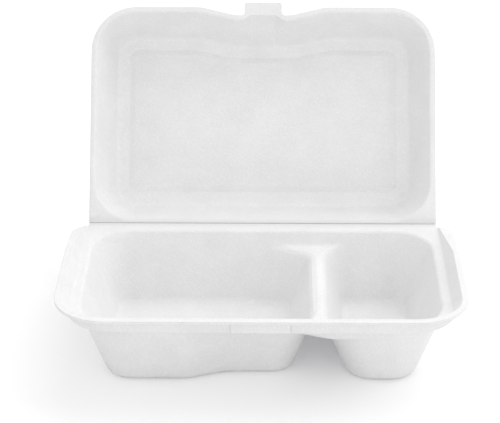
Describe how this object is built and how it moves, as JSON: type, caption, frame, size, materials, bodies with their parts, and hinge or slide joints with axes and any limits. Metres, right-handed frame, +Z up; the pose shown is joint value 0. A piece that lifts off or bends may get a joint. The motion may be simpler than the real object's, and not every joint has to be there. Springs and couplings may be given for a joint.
{
  "type": "hinged food box",
  "caption": "Moulded fibre takeaway box: a tray with a large and a small drafted well and a rim that guards the lid, and a hinged lid with a sunken panel and a snap tab.",
  "frame": {"origin": "on the table, under the middle of the box as it stands with its lid open", "axes": "+X along the crease to the small well's side, -Y towards the front with the tab slot, +Z up from the table"},
  "size_m": [0.2256, 0.2224, 0.158],
  "materials": {
    "tray": "matte, pressed smooth",
    "lid": "matte, pressed smooth"
  },
  "bodies": {
    "tray": {"tray": "tray"},
    "lid": {"lid": "lid"}
  },
  "joints": [
    {"name": "lid_hinge", "type": "hinge", "parent": "tray", "child": "lid", "pos_m": [0, 0.02883, 0.04215], "axis": [1, 0, 0], "range_deg": [-59, 121]}
  ]
}
